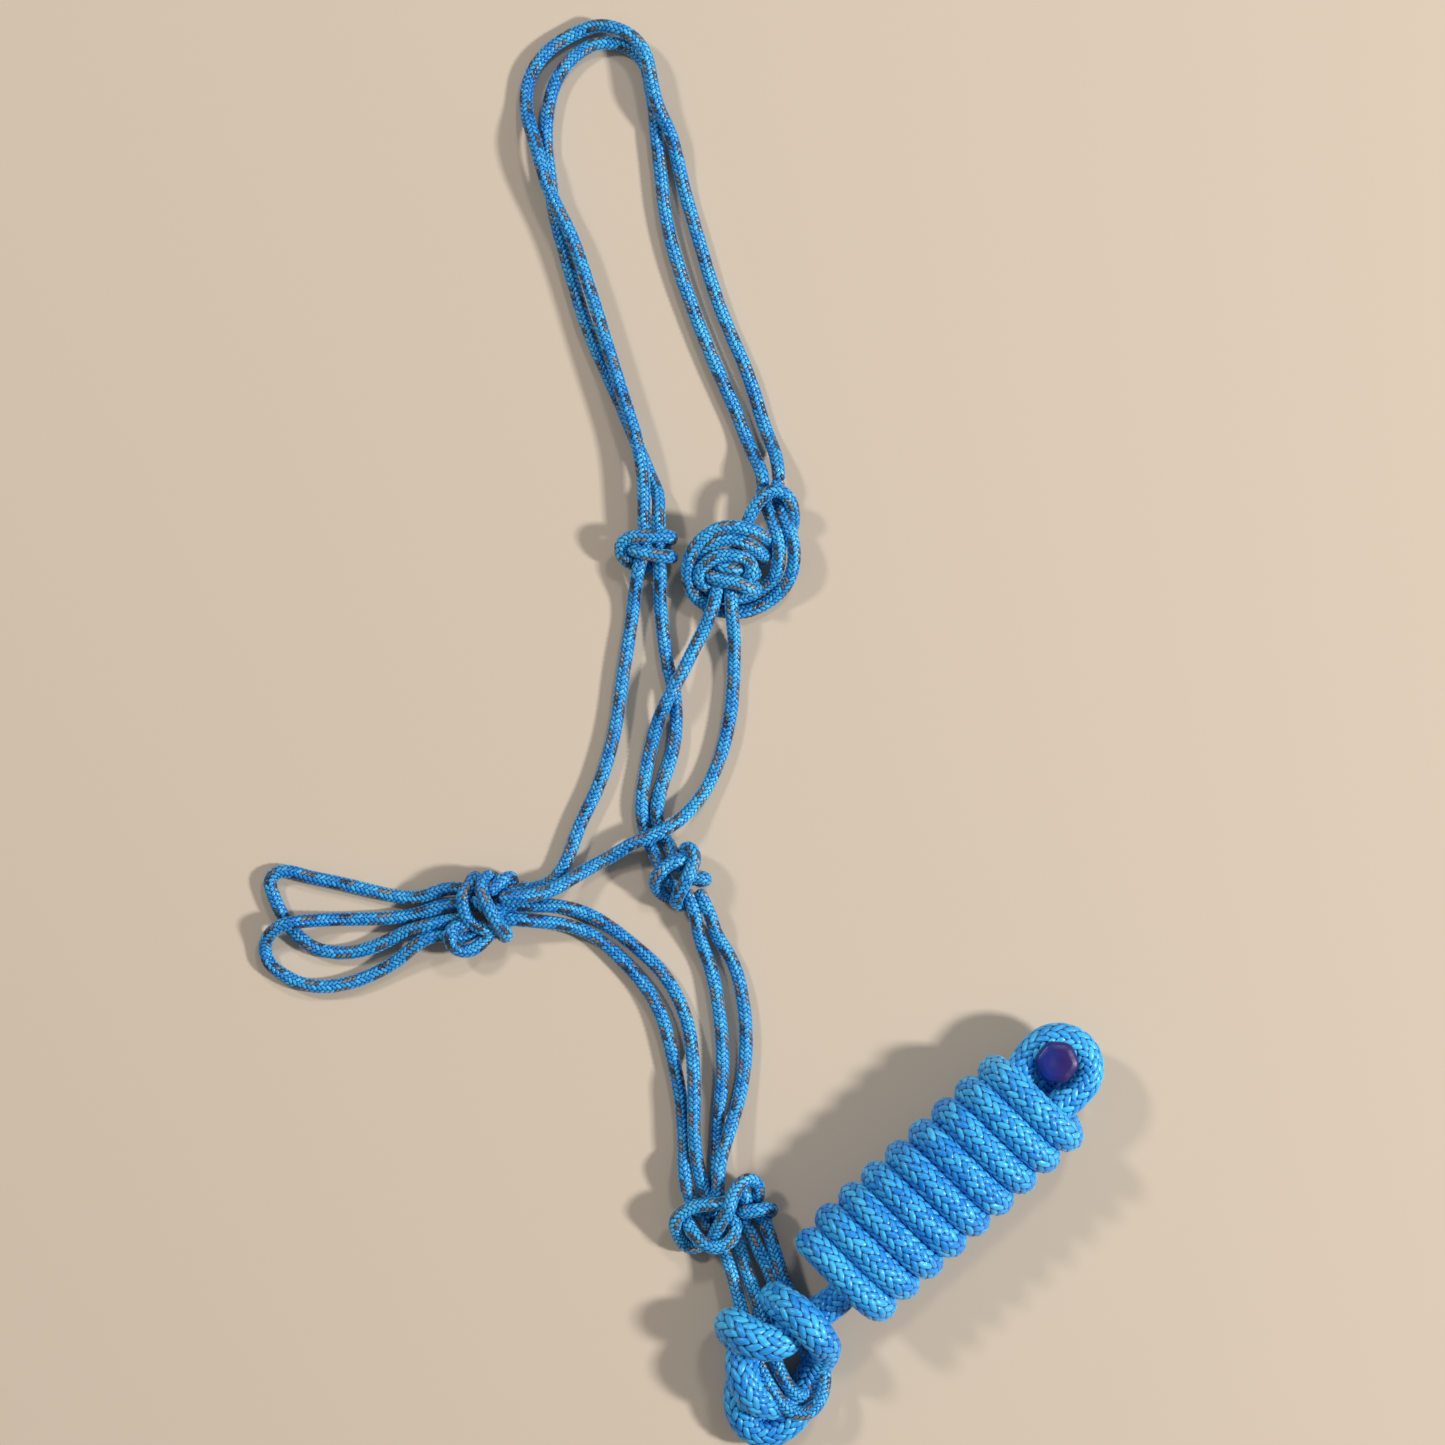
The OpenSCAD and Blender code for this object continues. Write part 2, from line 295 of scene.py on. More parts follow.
def grid_mesh(name, rings, v):
    """A closed tube from rings of points, with UVs of turns round it and rows along it."""
    rows, sides = rings.shape[:2]
    ends = np.array([rings[0].mean(axis=0), rings[-1].mean(axis=0)])
    points = np.vstack([rings.reshape(-1, 3), ends]) * MM
    k = np.arange(sides)
    after = (k + 1) % sides
    first = (np.arange(rows - 1) * sides)[:, None]
    quads = np.stack([first + k, first + after, first + sides + after, first + sides + k], axis=2)
    quads = quads.reshape(-1, 4)
    last = (rows - 1) * sides
    start_fan = np.stack([np.full(sides, rows * sides), after, k], axis=1)
    end_fan = np.stack([np.full(sides, rows * sides + 1), last + k, last + after], axis=1)
    corners = np.concatenate([quads.ravel(), start_fan.ravel(), end_fan.ravel()])
    sizes = np.concatenate([np.full(len(quads), 4), np.full(2 * sides, 3)])
    turn = np.stack([k, k + 1, k + 1, k], axis=1) / sides
    quad_u = np.tile(turn, (rows - 1, 1, 1)).reshape(-1)
    quad_v = np.stack([v[:-1], v[:-1], v[1:], v[1:]], axis=1)
    quad_v = np.repeat(quad_v[:, None, :], sides, axis=1).reshape(-1)
    fan_u = np.tile(np.stack([k + 0.5, k + 1, k], axis=1) / sides, (2, 1)).reshape(-1)
    fan_v = np.concatenate([np.full(3 * sides, v[0]), np.full(3 * sides, v[-1])])
    mesh = bpy.data.meshes.new(name)
    mesh.vertices.add(len(points))
    mesh.vertices.foreach_set("co", points.ravel())
    mesh.loops.add(len(corners))
    mesh.loops.foreach_set("vertex_index", corners.astype(np.int32))
    mesh.polygons.add(len(sizes))
    starts = np.concatenate([[0], np.cumsum(sizes)[:-1]])
    mesh.polygons.foreach_set("loop_start", starts.astype(np.int32))
    mesh.polygons.foreach_set("use_smooth", np.ones(len(sizes), bool))
    mesh.update(calc_edges=True)
    uv = mesh.uv_layers.new(name="braid")
    both = np.stack([np.concatenate([quad_u, fan_u]), np.concatenate([quad_v, fan_v])], axis=1)
    uv.data.foreach_set("uv", both.ravel().astype(np.float32))
    return mesh


def rope_piece(name, rope, line, round_first=True, round_last=True, start_run=0.0, swells=()):
    """A piece of rope along a line of millimetre points. It is returned unattached."""
    even = resample(np.array(line, float), rope.step)
    wear = sum(ord(c) for c in name) % 17
    rings, v = rope_surface(rope, even, round_first, round_last, start_run, wear, swells)
    piece = bpy.data.objects.new(name, grid_mesh(name, rings, v))
    piece.data.materials.append(rope.material)
    bpy.context.scene.collection.objects.link(piece)
    return piece


def metres(line):
    """A line's millimetre points as tuples in metres."""
    return [tuple(float(x) * MM for x in p) for p in line]


# ---------------------------------------------------------------- materials


class Shader:
    """Short calls that add nodes to a material and link them."""

    def __init__(self, name):
        self.material = bpy.data.materials.new(name)
        self.material.use_nodes = True
        self.tree = self.material.node_tree
        self.surface = self.tree.nodes["Principled BSDF"]

    def node(self, kind, inputs=(), **settings):
        made = self.tree.nodes.new(kind)
        for key, value in settings.items():
            setattr(made, key, value)
        for key, value in dict(inputs).items():
            if isinstance(value, bpy.types.NodeSocket):
                self.tree.links.new(value, made.inputs[key])
            else:
                made.inputs[key].default_value = value
        return made

    def math(self, operation, *values):
        return self.node("ShaderNodeMath", enumerate(values), operation=operation).outputs[0]

    def mix(self, share, a, b):
        # The mix node's colours are its inputs 6 and 7 and its output 2.
        made = self.node(
            "ShaderNodeMix", {"Factor": share, 6: a, 7: b}, data_type="RGBA", blend_type="MIX"
        )
        return made.outputs[2]

    def noise(self, vector, scale, detail=3.0):
        made = self.node("ShaderNodeTexNoise", {"Vector": vector, "Scale": scale, "Detail": detail})
        return made.outputs["Fac"]

    def ramp(self, value, low, high):
        made = self.node(
            "ShaderNodeMapRange",
            {"Value": value, "From Min": low, "From Max": high},
            interpolation_type="SMOOTHSTEP",
        )
        return made.outputs[0]

    def surface_is(self, **values):
        for key, value in values.items():
            socket = self.surface.inputs[key.replace("_", " ")]
            if isinstance(value, bpy.types.NodeSocket):
                self.tree.links.new(value, socket)
            else:
                socket.default_value = value


def braid_material(name, rope, gap_shade, middle, light, tracer, filaments, bump, roughness, gap):
    """Braided shiny yarn: each stitch has its own tone and fine filaments, and shade is painted dark into
    the gaps between stitches.

    gap is where on a stitch's edge the painted shade of the gaps starts and ends.
    """
    s = Shader(name)
    uv = s.node("ShaderNodeUVMap", uv_map="braid").outputs[0]
    split = s.node("ShaderNodeSeparateXYZ", {0: uv})
    turns = s.math("MULTIPLY", split.outputs[0], float(rope.strands))
    a = s.math("ADD", turns, split.outputs[1])
    b = s.math("SUBTRACT", turns, split.outputs[1])
    i, j = s.math("FLOOR", a), s.math("FLOOR", b)
    part_a, part_b = s.math("SUBTRACT", a, i), s.math("SUBTRACT", b, j)
    row = s.math("FLOORED_MODULO", s.math("ADD", i, j), 4.0)
    over = s.math("LESS_THAN", row, 2.0)
    under = s.math("SUBTRACT", 1.0, over)
    across = s.math("ADD", s.math("MULTIPLY", over, part_a), s.math("MULTIPLY", under, part_b))
    run = s.math("ADD", s.math("MULTIPLY", over, part_b), s.math("MULTIPLY", under, part_a))
    back = s.math("MULTIPLY", under, 2.0)
    along = s.math("DIVIDE", s.math("ADD", s.math("SUBTRACT", row, back), run), 2.0)
    yarn = s.math("ADD", s.math("MULTIPLY", over, i), s.math("MULTIPLY", under, j))

    # Each stitch has a number of its own: its yarn, and which float of that yarn it is.
    crossing = s.math("ADD", s.math("MULTIPLY", over, j), s.math("MULTIPLY", under, i))
    float_start = s.math("SUBTRACT", crossing, s.math("SUBTRACT", row, back))
    stitch = s.node("ShaderNodeCombineXYZ", {0: yarn, 1: float_start, 2: over}).outputs[0]
    chance = s.node("ShaderNodeTexWhiteNoise", {"Vector": stitch}, noise_dimensions="3D").outputs[0]

    # The body is 1 on a stitch's middle and 0 in the gaps at its corners.
    def share(value):
        centred = s.math("ABSOLUTE", s.math("MULTIPLY_ADD", value, 2.0, -1.0))
        return s.math("POWER", centred, rope.plump)

    body = s.math("SUBTRACT", STITCH_EDGE, s.math("ADD", share(across), share(along)))

    # Filaments run along each yarn, a little unevenly.
    stretched = s.node(
        "ShaderNodeCombineXYZ",
        {
            0: s.math("MULTIPLY", across, float(filaments)),
            1: s.math("MULTIPLY", s.math("ADD", along, float_start), 0.9),
            2: yarn,
        },
    ).outputs[0]
    grain = s.noise(stretched, 1.6, 2.0)
    strayed = s.math("ADD", across, s.math("MULTIPLY", grain, 0.35))
    waves = s.math("SINE", s.math("MULTIPLY", strayed, 2 * math.pi * filaments))
    threads = s.math("ADD", s.math("MULTIPLY", waves, 0.18), grain)

    # How light a stitch is: by chance, by its filaments, and in wide faded areas.
    place = s.node("ShaderNodeTexCoord").outputs["Object"]
    fade = s.noise(place, 14.0, 2.0)
    lift = s.math("ADD", s.math("MULTIPLY", chance, 0.40), s.math("MULTIPLY", grain, 0.45))
    lift = s.math("ADD", lift, s.math("MULTIPLY", waves, 0.10))
    lift = s.math("ADD", lift, s.math("MULTIPLY", s.math("SUBTRACT", fade, 0.5), 0.7))
    blue = s.mix(s.ramp(lift, 0.10, 0.80), middle, light)
    if tracer:
        # Three neighbouring yarns that turn the same way are tracers.
        turn = s.math("FLOORED_MODULO", yarn, float(rope.strands))
        marked = s.math("MULTIPLY", s.math("LESS_THAN", turn, 2.5), over)
        fleck = s.mix(s.ramp(lift, 0.25, 0.65), tracer[0], tracer[1])
        blue = s.mix(marked, blue, fleck)
    # Painted shade: the colour darkens towards each stitch's edges, into the gaps between stitches.
    colour = s.mix(s.ramp(body, *gap), gap_shade, blue)
    height = s.math("ADD", s.math("MULTIPLY", body, 0.3), s.math("MULTIPLY", threads, 0.5))
    relief = s.node("ShaderNodeBump", {"Height": height, "Strength": bump, "Distance": 0.0003})
    s.surface_is(
        Base_Color=colour,
        Roughness=s.math("ADD", s.math("MULTIPLY", grain, 0.22), roughness),
        Normal=relief.outputs[0],
        Sheen_Weight=0.08,
        Sheen_Roughness=0.4,
        Specular_IOR_Level=0.9,
        Specular_Tint=(0.35, 0.7, 1.0, 1),
    )
    return s.material


# Each braid's darkest colour is painted shade for the gaps between its stitches.
CORD.material = braid_material(
    "halter_cord",
    CORD,
    gap_shade=(0.001, 0.012, 0.085, 1),
    middle=(0.005, 0.19, 0.62, 1),
    light=(0.07, 0.56, 0.98, 1),
    tracer=((0.026, 0.028, 0.034, 1), (0.25, 0.25, 0.24, 1)),
    filaments=4,
    bump=0.45,
    roughness=0.18,
    gap=(0.10, 1.05),
)
LEAD.material = braid_material(
    "lead_rope",
    LEAD,
    gap_shade=(0.001, 0.014, 0.11, 1),
    middle=(0.006, 0.20, 0.70, 1),
    light=(0.07, 0.58, 0.99, 1),
    tracer=None,
    filaments=6,
    bump=0.5,
    roughness=0.18,
    gap=(0.05, 0.80),
)

# ---------------------------------------------------------------- routes of the free cords

# Heights of a cord's middle: on the floor, at a knot, and over another cord.
LAY = 3.5
KZ = 10.3
OVER = 10.8

# These are part.scad's routes, but the inner lead loop's turn lies up to 2 mm further out.

CROWN_OUTER = [
    (-16, 109.5, KZ), (-16, 121, OVER), (-18, 141, OVER), (-25, 166, OVER), (-32, 188, OVER),
    (-39, 211, OVER), (-46, 233, OVER), (-54, 254, OVER), (-64, 275, OVER), (-70, 296, 10),
    (-75, 315, 4), (-73, 331, LAY), (-64, 344, LAY), (-50, 353, LAY), (-39, 356, 6),
    (-30, 354, 10), (-21, 349, OVER), (-15, 340, OVER), (-12, 327, OVER), (-9, 315, OVER),
    (-3, 302, 8), (3, 279, LAY), (10, 254, LAY), (18, 227, LAY), (27, 203, LAY),
    (37, 179, LAY), (45, 154, LAY), (49.5, 142, 7), (51, 133.5, KZ),
]
CROWN_INNER = [
    (-8.7, 112.1, KZ), (-9, 121, 6.5), (-12, 129, 4), (-18, 143, LAY), (-27, 165, LAY),
    (-36, 185, LAY), (-44, 204, LAY), (-51, 226, LAY), (-57, 247, LAY), (-61, 263, LAY),
    (-63, 279, LAY), (-65, 297, LAY), (-64, 315, LAY), (-60, 329, LAY), (-51, 341, LAY),
    (-41, 347, LAY), (-32, 348, LAY), (-23, 345, LAY), (-16, 338, LAY), (-13, 327, LAY),
    (-11, 315, LAY), (-10, 303, LAY), (-8, 285, LAY), (-6, 266, LAY), (-1, 243, LAY),
    (9, 213, LAY), (19, 188, LAY), (30, 163, LAY), (38, 143, 5), (43, 130.6, KZ),
]
RIGHT_CHEEK = [
    (-19, 82.5, KZ), (-21, 69, 5), (-24, 47, LAY), (-27, 28, LAY), (-30, 7, LAY),
    (-34, -10, LAY), (-40, -27, LAY), (-48, -44, LAY), (-54, -60, LAY), (-60, -70, LAY),
    (-68, -75, 6), (-78, -76, KZ),
]
LEFT_CHEEK = [
    (27.5, 71, 11), (28, 62, 11.5), (29, 50, 8), (29, 36, 4), (28, 18, LAY), (25, 0, LAY),
    (19, -18, LAY), (11, -32, 5), (1, -42, 9.5), (-7, -47, OVER), (-15, -50.5, OVER),
    (-23, -54, 9.5), (-33, -60, 5.5), (-44, -66, 6), (-54, -72, OVER), (-64, -77, 15),
    (-78, -79.5, 17.5),
]
RIGHT_THROAT = [
    (-8, 82.5, KZ), (-8, 68, 4.5), (-6, 48, LAY), (-4, 35, LAY), (-1, 23, LAY), (0, 11, LAY),
    (-1, -4, LAY), (-5, -18, LAY), (-9, -32, LAY), (-9.5, -40, LAY), (-7, -48, LAY),
    (-3, -55, 7), (-1, -60, KZ),
]
LEFT_THROAT = [
    (20, 71, 11), (17.5, 62, 11.5), (14, 54, 9), (9, 44, 8), (2.5, 31, OVER), (-4.5, 18, OVER),
    (-9.5, 6, 7), (-13.5, -9, LAY), (-16.5, -26, LAY), (-17, -40, LAY), (-14.5, -50, LAY),
    (-11, -58, 7), (-8, -64, KZ),
]
NOSEBAND_UPPER = [
    (-115, -76, KZ), (-128, -80, 6), (-149, -78, LAY), (-170, -73, LAY), (-186, -69.5, LAY),
    (-198, -67.5, LAY), (-203, -71, LAY), (-202, -79, LAY), (-198, -88, LAY),
    (-192, -97, LAY), (-184, -104, LAY), (-175, -107.5, LAY), (-164, -108, LAY),
    (-151, -105, LAY), (-136, -98, 6), (-121.4, -93.4, KZ),
]
NOSEBAND_LOWER = [
    (-118.3, -84.9, KZ), (-129, -88.5, 6), (-149, -91, LAY), (-172, -91.5, 4),
    (-185, -92, 9.5), (-195, -93.5, OVER), (-202, -97.5, 8), (-206, -105, LAY),
    (-204, -113, LAY), (-197, -119, LAY), (-188, -123.5, LAY), (-175, -125, LAY),
    (-163, -123, LAY), (-149, -117.5, LAY), (-136, -109, 6), (-124, -100.4, KZ),
]
CHIN_FRONT = [
    (-75, -84.3, KZ), (-62, -84.5, 8), (-49, -87, 4), (-38, -92, LAY), (-28, -99, LAY),
    (-17, -108, LAY), (-7, -118, LAY), (0, -129, LAY), (5, -141, LAY), (8, -157, 6),
    (9, -173, OVER), (9, -189, OVER), (9.5, -204, OVER), (11.5, -216.5, KZ),
]
CHIN_BACK = [
    (-75, -91.7, KZ), (-62, -93, 7), (-49, -96, 4), (-38, -102, LAY), (-28, -111, LAY),
    (-17, -123, LAY), (-9, -136, LAY), (-4, -151, LAY), (-0.5, -166, LAY), (2, -179, LAY),
    (3.5, -194, LAY), (4, -207, 5.5), (4, -216.5, KZ),
]
JAW_LEFT = [
    (9.3, -88, KZ), (12, -101, 6), (17, -115, LAY), (21, -134, LAY), (23, -153, LAY),
    (23, -173, LAY), (21.5, -189, LAY), (20.5, -205, LAY), (20, -216.5, 6.5),
]
JAW_RIGHT = [
    (16.6, -88, KZ), (21, -100, 6), (28, -112, LAY), (33, -129, LAY), (35, -148, LAY),
    (34, -168, LAY), (30, -187, 6), (25, -202, OVER), (21.5, -216.5, 14),
]
EYE = [
    (31, 95.5, 14), (35, 105, 15), (38.5, 113, 17), (44, 120, 18), (50.5, 122.5, 18),
    (56, 119, 16), (58.5, 112, 11), (58, 105, 6), (54, 98, 4), (47, 92, LAY), (42, 88, 4),
]
TAIL_OUTER = [
    (51, 129.7, KZ), (51, 121, 9.5), (53, 112, 11.5), (57, 102, 14), (59, 90, 13),
    (57, 80, 9), (52, 72.5, 5), (43, 66, LAY), (32, 62.5, LAY), (20, 64, LAY), (9.5, 70.5, 7),
    (5.8, 81, 13), (8, 91.5, 17.5), (15, 100, 20.5), (26, 104.3, 22.5), (37, 102.8, 21.5),
    (43.5, 100, 16), (48, 97, 9.5),
]
TAIL_INNER = [
    (43, 126.8, KZ), (44, 119, 9.5), (46.5, 112, 11.5), (50, 102, 14), (51.5, 90, 13),
    (50, 82, 9), (45.5, 76, 5), (38, 71.5, LAY), (30, 69.8, LAY), (21, 71, LAY),
    (13.5, 76, 4.5), (10.5, 83, 7.5), (12, 90, 13), (17.5, 95.5, 18.5), (26, 98, 20.5),
    (35, 96, 20), (41, 92.5, 15.5), (45.5, 89, 9),
]
LOOP_OUTER = [
    (26.5, -263.5, KZ), (30, -275, 12), (34, -290, 14), (39, -306, 17), (46, -321, 19.5),
    (54, -332, 19.5), (64, -336, 19.5), (72, -329, 18), (74, -317, 14), (70, -303, 11),
    (62, -287, 10), (53, -268, 10), (45.3, -244.7, KZ),
]
LOOP_INNER = [
    (32.6, -257.4, KZ), (37, -271, 12), (43, -288, 14), (47.5, -303, 17), (51.5, -314.5, 19.5),
    (56.8, -323.5, 18.5), (62.8, -328, 16), (67.2, -323.3, 12.3), (66.5, -312, 10.3),
    (61, -299, 10.5), (51, -277, 10), (38.9, -251, KZ),
]


def reach(points, first=(), last=()):
    """A route with points before its first and after its last, which lie inside knots."""
    return list(first) + list(points) + list(last)


# ---------------------------------------------------------------- fold axes

JOINTS = {j["name"]: j for j in frame["joints"]}


def fold_ends(name, toward, before, after):
    """Two points square to a joint's axis, before it and after it on the side of a place."""
    pos = np.array(JOINTS[name]["pos_m"]) / MM
    axis = np.array(JOINTS[name]["axis"], float)
    away = np.array(toward, float) - pos
    away -= (away @ axis) * axis
    away[2] = 0
    away /= np.linalg.norm(away)
    return metres([pos - before * away, pos + after * away])


def bend_at(piece, name, toward, before=3.0, after=15.0):
    """Finds the points before and after a joint's axis, on the side of a place, and bakes a piece's place
    into its mesh.
    """
    start, end = fold_ends(name, toward, before, after)
    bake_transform(piece)


# ---------------------------------------------------------------- knots

# The strands of each knot, as routes like the cords'. They stop low or inside the knot, and some
# ends of the fiador knot's strands show from below.
RIGHT_THROAT_KNOT = [
    # The upper turn comes over the front, rounds the left side and runs in below.
    [(-10, 97, 3.7), (-4, 98.5, 5), (-1.5, 99.8, 10), (-4.3, 100.4, 15.3), (-9, 100, 17.5),
     (-15, 99.8, 17.5), (-20, 101, 16.3), (-24, 99.8, 13.6), (-25.6, 94, 11),
     (-24.6, 88.3, 9), (-21.5, 84.8, 6.2), (-16, 85.5, 3.6), (-10, 88, 3.6)],
    [(-15, 91, 3.6), (-6, 90, 3.8), (0, 89, 8), (-2, 89.4, 13.5), (-6.5, 89.8, 16.9),
     (-12.7, 90.3, 17.6), (-17.5, 90.8, 16.3), (-19.8, 91.3, 12.5), (-16, 92, 9)],
]
LEFT_THROAT_KNOT = [
    # The inner turn arches over the core and down the left side.
    [(33, 76, 5), (37, 79.5, 8), (38.2, 85, 12), (35.8, 89.5, 15.5), (31, 92, 17.3),
     (25, 91.5, 17.6), (19, 88.8, 16.8), (14.8, 84.3, 14), (13.4, 79, 11), (14.8, 73.6, 8),
     (20, 70.3, 5), (26, 71.5, 3.6)],
    # The front turn crosses just above the two lower cords.
    [(24, 80, 4), (18, 79.5, 7), (17.5, 77.6, 12.5), (20.5, 77, 16.5), (27.8, 78.2, 18.3),
     (35.5, 77.8, 17), (41, 75.8, 13), (42, 74.6, 8), (36, 74.5, 4), (29, 75, 3.6)],
    # A strand shows between the two.
    [(36, 82, 5), (34.5, 85.3, 10), (30, 86.3, 14.2), (24.5, 85.4, 15.4), (20, 82.8, 13),
     (20, 80, 8), (25, 79, 5)],
]
JAW_KNOT = [
    [(5, -68, 3.7), (8, -63, 6), (4.6, -59.2, 10.3), (-0.6, -60.2, 14.6), (-5.6, -62.8, 16.6),
     (-9.6, -67.2, 14.8), (-11, -72.2, 11.5), (-8.6, -77, 8), (-3.6, -78.2, 5), (2, -76, 3.6)],
    [(-3, -64, 7), (-1.4, -59, 9.5), (1.6, -55.8, 12.5), (6, -55.2, 15), (8.8, -59.8, 17),
     (8.3, -66.4, 18.2), (4.9, -73, 18.2), (0.8, -79, 16), (-2.2, -83, 12), (-0.8, -84.2, 6),
     (4, -80, 3.6)],
    # A short bight pokes out to the right.
    [(4, -70, 11), (9, -71.3, 12.6), (14, -72, 12.2), (17.2, -72.6, 9), (15.4, -73, 4.6),
     (9, -73, 3.6)],
]
UPPER_NOSE_KNOT = [
    [(-97, -86, 4), (-99.5, -76, 6), (-99.6, -71.6, 11), (-101.6, -75.2, 15.4),
     (-105, -80, 17), (-106.6, -86, 17), (-104.6, -92.4, 14.8), (-98.6, -96.2, 11.5),
     (-90.4, -95, 8.5), (-83.4, -91.6, 6), (-80, -87, 5)],
    [(-86, -80, 3.8), (-88.6, -73, 5), (-91.2, -67.8, 9.5), (-94.8, -67.6, 14.2),
     (-96, -74, 18), (-94.4, -82, 19.2), (-91.2, -89.4, 18), (-86.6, -94.6, 13.6),
     (-83.4, -94.2, 8), (-85, -89, 4)],
    # A strand fills the core between the two turns.
    [(-106, -82, 8), (-101, -81, 12), (-96, -84, 13), (-91, -87, 12), (-86, -88, 8)],
    # A small bight stands up at the back of the knot.
    [(-90, -80, 13), (-87.8, -74, 15.2), (-85.4, -69.8, 14), (-81.4, -69.2, 12),
     (-78.9, -73.2, 10.6), (-80.6, -78.4, 9.6), (-86, -81, 8)],
]
LOWER_NOSE_KNOT = [
    # The lobe hangs from the front of the knot, over the lower cord.
    [(-104, -90, 8), (-110, -91.6, 12), (-115, -96, 14.4), (-114.6, -102.4, 13.6),
     (-109.6, -107.8, 11.5), (-103, -109, 10), (-97.4, -105, 9.4), (-95, -98.6, 8),
     (-97, -92, 5.5)],
]
FIADOR_KNOT = [
    # The left loop comes over the top, rounds the left side and tucks in below.
    [(33, -229, 9), (26.7, -230.6, 14), (18.6, -231.4, 17), (8.1, -232.4, 17),
     (1.7, -236.1, 15.2), (-1.2, -242, 12), (0.2, -248.6, 8.6), (2.6, -255, 6.6),
     (6.6, -258.4, 5), (12, -257, 3.8), (17, -251, 3.6)],
    # The lower loop runs round the foot of the slanting cord.
    [(4, -236, 8), (4.4, -241.5, 12), (8.1, -248, 15), (13.9, -253.4, 16.8),
     (20.9, -255.6, 17.4), (27.3, -253.4, 17.2), (31.4, -247.4, 16.2), (32.8, -240.6, 14),
     (30, -235, 10)],
    # The slanting cord lies on top.
    [(18, -252, 7), (18.8, -249, 12.5), (21.4, -242.4, 18.6), (24.6, -234.2, 21.6),
     (27.9, -226.2, 21.4), (31.8, -220, 19.4), (36.8, -217.8, 16), (41.4, -220.6, 13),
     (42.4, -227.4, 10), (40, -234, 7)],
    # A short loop pokes out to the right.
    [(30, -237.5, 12), (36, -236.3, 14.4), (42, -235.4, 15), (47.2, -236, 12.6),
     (48.6, -238, 8), (44, -240, 4.6), (37, -240.6, 3.8)],
    # Two strands fill the core, between the cords that enter and the loop that leaves.
    [(14, -222, 5), (15.5, -230, 6), (17, -238, 8.5), (19.4, -245, 11), (24, -250, 10)],
    [(29, -222, 12), (33, -228, 15.5), (35.6, -233.5, 14), (36, -240, 9.6), (33, -246, 7)],
]

KNOT_REACH = 34.0  # a knot's strands are pressed off the passing cords this far from its middle


def stretch_near(line, place, distance):
    """The part of a line within a distance of a place, as seen from above."""
    return line[np.linalg.norm((line - place)[:, :2], axis=1) < distance]


def tie(name, node, body, routes, passing):
    """A knot of the halter's cord: its strands are pressed off each other and the passing cords."""
    strands = [spline(points, SETTLE_STEP) for points in routes]
    middle = np.vstack(strands).mean(axis=0)
    fixed = [stretch_near(resample(LINES[cord], SETTLE_STEP), middle, KNOT_REACH) for cord in passing]
    everything = strands + fixed
    held = [np.full(len(s), k >= len(strands)) for k, s in enumerate(everything)]
    radii = [CORD.radius] * len(everything)
    settled = settle(everything, radii, held)[: len(strands)]
    for number, line in enumerate(settled):
        piece = rope_piece(f"{name}_strand_{number + 1}", CORD, spline(line, CORD.step))
        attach(piece, body)
        if number == 0:
            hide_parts(node)


# ---------------------------------------------------------------- cords and knots in place


LINES = {}  # each free cord's line, by its node's name


def free_cord(node, points, body=None, fold=None, toward=None):
    """A free cord that stands for its CAD tube. One that crosses a fold has its place baked into its mesh
    and is left unattached; the rest are attached to their body.
    """
    line = spline(points, CORD.step)
    LINES[node] = line
    piece = rope_piece(f"{node}_rope", CORD, line)
    if fold:
        bend_at(piece, fold, toward)
    else:
        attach(piece, body)
    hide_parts(node)


# Places on the folding parts, which say on what side of its axis each one lies.
CROWN_END, NOSE_END, CHIN_END = (-20, 300, KZ), (-200, -90, KZ), (0, -200, KZ)
LOOP_END = (60, -320, KZ)

free_cord("crown_cord_outer",
          reach(CROWN_OUTER, [(-15, 93, KZ), (-15.5, 103, KZ)], [(51.5, 127, KZ)]),
          fold="crown_fold", toward=CROWN_END)
free_cord("crown_cord_inner", reach(CROWN_INNER, [(-8.6, 93, KZ), (-8.6, 105, KZ)], [(43.5, 124, KZ)]),
          fold="crown_fold", toward=CROWN_END)
free_cord("right_cheek_cord", reach(RIGHT_CHEEK, [(-16, 92, KZ)], [(-90, -78, KZ)]), body="cheeks")
free_cord("left_cheek_cord", reach(LEFT_CHEEK, [(27, 82, KZ)], [(-88, -80, 15)]), body="cheeks")
free_cord("right_throat_cord", reach(RIGHT_THROAT, [(-9, 92, KZ)], [(2, -68, KZ)]), body="cheeks")
free_cord("left_throat_cord", reach(LEFT_THROAT, [(22, 82, KZ)], [(-5, -71, 9), (0, -77, 7)]),
          body="cheeks")
free_cord("noseband_cord_upper",
          reach(NOSEBAND_UPPER, [(-92, -77, KZ), (-104, -76, KZ)], [(-112, -91, 9), (-103, -88, 8)]),
          fold="noseband_fold", toward=NOSE_END)
free_cord("noseband_cord_lower",
          reach(NOSEBAND_LOWER, [(-92, -84, KZ), (-104, -83.5, KZ)],
                [(-113, -99.5, 8), (-105, -99.5, 6.5), (-98, -95, 6.5)]),
          fold="noseband_fold", toward=NOSE_END)
free_cord("chin_cord_front", reach(CHIN_FRONT, [(-92, -83.5, KZ)], [(15, -228, 9), (20, -240, 9)]),
          fold="chin_fold", toward=CHIN_END)
free_cord("chin_cord_back",
          reach(CHIN_BACK, [(-92, -90, KZ)], [(5.6, -226, 9.5), (10.5, -237, 9), (17, -246, 8)]),
          fold="chin_fold", toward=CHIN_END)
free_cord("jaw_cord_left", reach(JAW_LEFT, [(5, -76, KZ)], [(21, -228, 6.5), (24, -240, 6.5)]),
          fold="chin_fold", toward=CHIN_END)
